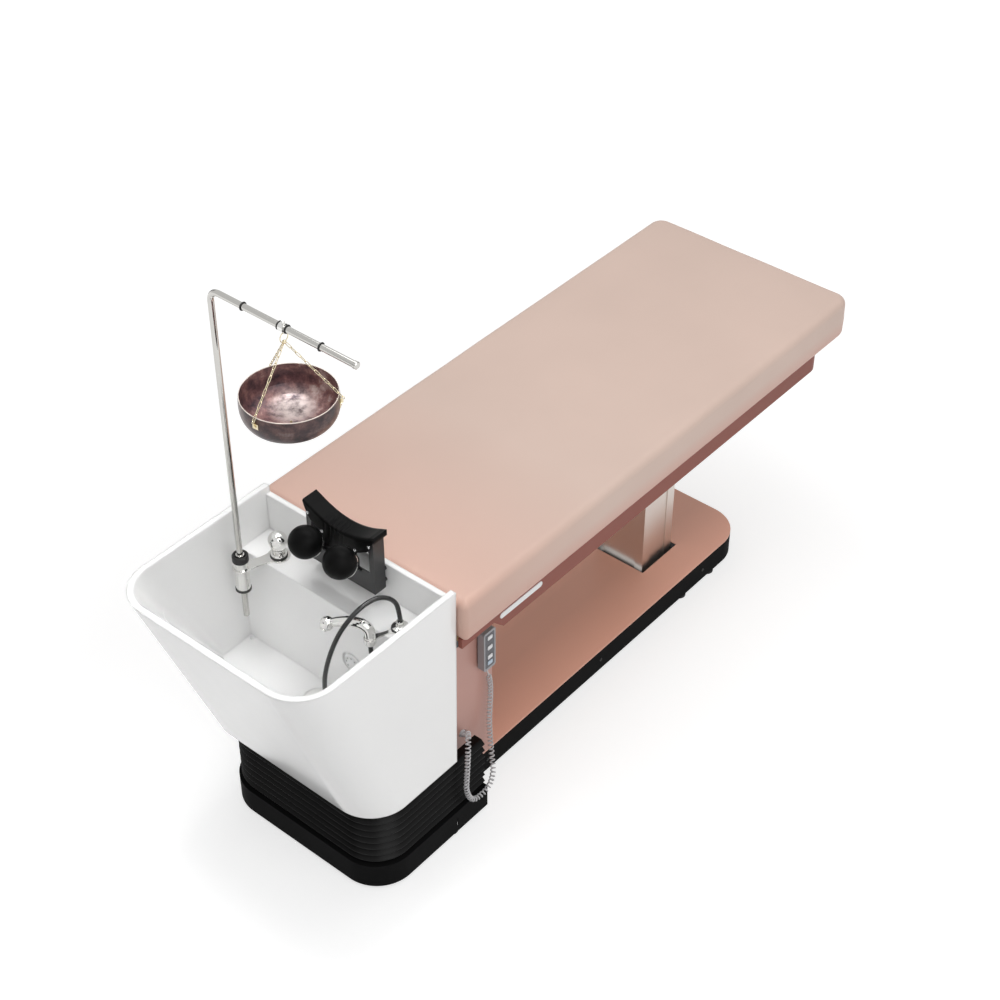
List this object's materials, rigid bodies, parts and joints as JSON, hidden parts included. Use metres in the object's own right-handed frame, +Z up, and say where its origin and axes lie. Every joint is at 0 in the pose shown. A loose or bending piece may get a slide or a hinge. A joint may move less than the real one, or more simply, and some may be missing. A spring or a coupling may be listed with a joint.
{
  "type": "hair washing bed",
  "caption": "Lifting couch on columns with a wash basin at its head, neck rest, tap, hand shower, hanging oil bowl on a swivel pole and a corded handset.",
  "frame": {"origin": "middle of the footprint's bounding box on the floor", "axes": "+X to the foot end, +Y to the side the pole stands on, +Z up"},
  "size_m": [2.226, 0.69, 1.623],
  "materials": {
    "chassis_paint": "satin",
    "skirt_black": "matt",
    "bellows_black": "matt",
    "cover_pink": "satin",
    "fascia_mauve": "satin",
    "foot_rubber": "matt",
    "dark_screw": "satin",
    "column_steel": "anodised",
    "glide_white": "matt",
    "actuator_grey": "satin",
    "rod_steel": "brushed",
    "box_black": "matt",
    "hook_grey": "gloss",
    "handset_silver": "satin",
    "handset_dark": "satin",
    "key_white": "gloss",
    "key_blue": "gloss",
    "cord_silver": "satin",
    "board_wood": "matt",
    "cushion_leather": "satin",
    "strip_white": "satin",
    "basin_gloss": "gloss",
    "trap_white": "matt",
    "stand_black": "satin",
    "pad_rubber": "satin",
    "black_rubber": "matt",
    "hose_black": "gloss",
    "chrome": "polished",
    "pale_brass": "polished",
    "copper_patina": "burnished"
  },
  "bodies": {
    "base": {"base_chassis": "chassis_paint", "base_skirt": "skirt_black", "base_cover": "cover_pink", "head_plinth": "skirt_black", "levelling_feet": "foot_rubber", "base_screws": "dark_screw", "column_outer_stages": "column_steel", "column_glides": "glide_white", "lift_actuators": "actuator_grey", "control_box": "box_black", "mains_inlet": "box_black", "pedestal_cover": "cover_pink", "handset_hook": "hook_grey", "cord_gland": "cord_silver", "curly_cord": "cord_silver", "bellows": "bellows_black"},
    "couch": {"column_inner_stages": "column_steel", "actuator_rods": "rod_steel", "bed_frame": "chassis_paint", "basin_cradle": "chassis_paint", "bellows_frame": "chassis_paint", "frame_fascia": "fascia_mauve", "cushion_board": "board_wood", "cushion": "cushion_leather", "trim_strip": "strip_white", "basin": "basin_gloss", "overflow_cap": "strip_white", "waste_trap": "trap_white", "neck_stand": "stand_black", "neck_screws": "rod_steel", "neck_pad": "pad_rubber", "ball_rings": "chrome", "valve_body": "chrome", "hose_union": "chrome", "fitting_seals": "black_rubber", "pole_bracket": "chrome", "pole_sleeve": "chrome", "sleeve_rings": "black_rubber", "shower_holder": "chrome", "shower_hose": "hose_black"},
    "strainer": {"drain_strainer": "rod_steel"},
    "tap": {"valve_knob": "chrome"},
    "far_ball": {"ball_far": "pad_rubber"},
    "near_ball": {"ball_near": "pad_rubber"},
    "swivel": {"pole_nut": "chrome"},
    "mast": {"pole": "chrome", "arm_cap": "chrome", "arm_o_rings": "black_rubber"},
    "hanger": {"hanger_clip": "chrome"},
    "sling": {"hanger_ring": "pale_brass", "chains": "pale_brass", "bowl": "copper_patina", "bowl_brassware": "pale_brass"},
    "shower": {"hand_shower": "chrome"},
    "handset": {"handset_shell": "handset_silver", "handset_face": "handset_dark"},
    "key_1": {"handset_key_1": "key_white"},
    "key_2": {"handset_key_2": "key_white"},
    "key_3": {"handset_key_3": "key_white"},
    "key_4": {"handset_key_4": "key_blue"}
  },
  "joints": [
    {"name": "lift", "type": "slide", "parent": "base", "child": "couch", "axis": [0, 0, 1], "range_m": [-0.12, 0], "deforming": ["bellows"]},
    {"name": "tap_turn", "type": "hinge", "parent": "couch", "child": "tap", "pos_m": [-0.666, 0.205, 0.83], "axis": [0, 0, 1], "range_deg": [0, 180]},
    {"name": "far_ball_turn", "type": "hinge", "parent": "couch", "child": "far_ball", "pos_m": [-0.71, 0.057, 0.934], "axis": [0.6947, 0, -0.7193], "continuous": true},
    {"name": "near_ball_turn", "type": "hinge", "parent": "couch", "child": "near_ball", "pos_m": [-0.71, -0.057, 0.934], "axis": [0.6947, 0, -0.7193], "continuous": true},
    {"name": "pole_turn", "type": "hinge", "parent": "couch", "child": "swivel", "pos_m": [-0.758, 0.245, 0.76], "axis": [0, 0, 1], "continuous": true},
    {"name": "pole_height", "type": "slide", "parent": "swivel", "child": "mast", "axis": [0, 0, 1], "range_m": [-0.13, 0.08]},
    {"name": "hanger_swing", "type": "hinge", "parent": "mast", "child": "hanger", "pos_m": [-0.758, 0.016, 1.605], "axis": [0, 1, 0], "range_deg": [-35, 35]},
    {"name": "bowl_swing", "type": "hinge", "parent": "hanger", "child": "sling", "pos_m": [-0.758, 0.016, 1.5905], "axis": [1, 0, 0], "range_deg": [-30, 30]},
    {"name": "strainer_lift", "type": "slide", "parent": "couch", "child": "strainer", "axis": [0, 0, 1], "range_m": [0, 0.03]},
    {"name": "shower_lift", "type": "slide", "parent": "couch", "child": "shower", "axis": [0, 0, 1], "range_m": [0, 0.05]},
    {"name": "handset_lift", "type": "slide", "parent": "base", "child": "handset", "axis": [0, 0, 1], "range_m": [0, 0.04]},
    {"name": "key_1_press", "type": "slide", "parent": "handset", "child": "key_1", "axis": [0, 1, 0], "range_m": [0, 0.0012], "stiffness_N_per_m": 500},
    {"name": "key_2_press", "type": "slide", "parent": "handset", "child": "key_2", "axis": [0, 1, 0], "range_m": [0, 0.0012], "stiffness_N_per_m": 500},
    {"name": "key_3_press", "type": "slide", "parent": "handset", "child": "key_3", "axis": [0, 1, 0], "range_m": [0, 0.0012], "stiffness_N_per_m": 500},
    {"name": "key_4_press", "type": "slide", "parent": "handset", "child": "key_4", "axis": [0, 1, 0], "range_m": [0, 0.0012], "stiffness_N_per_m": 500}
  ]
}
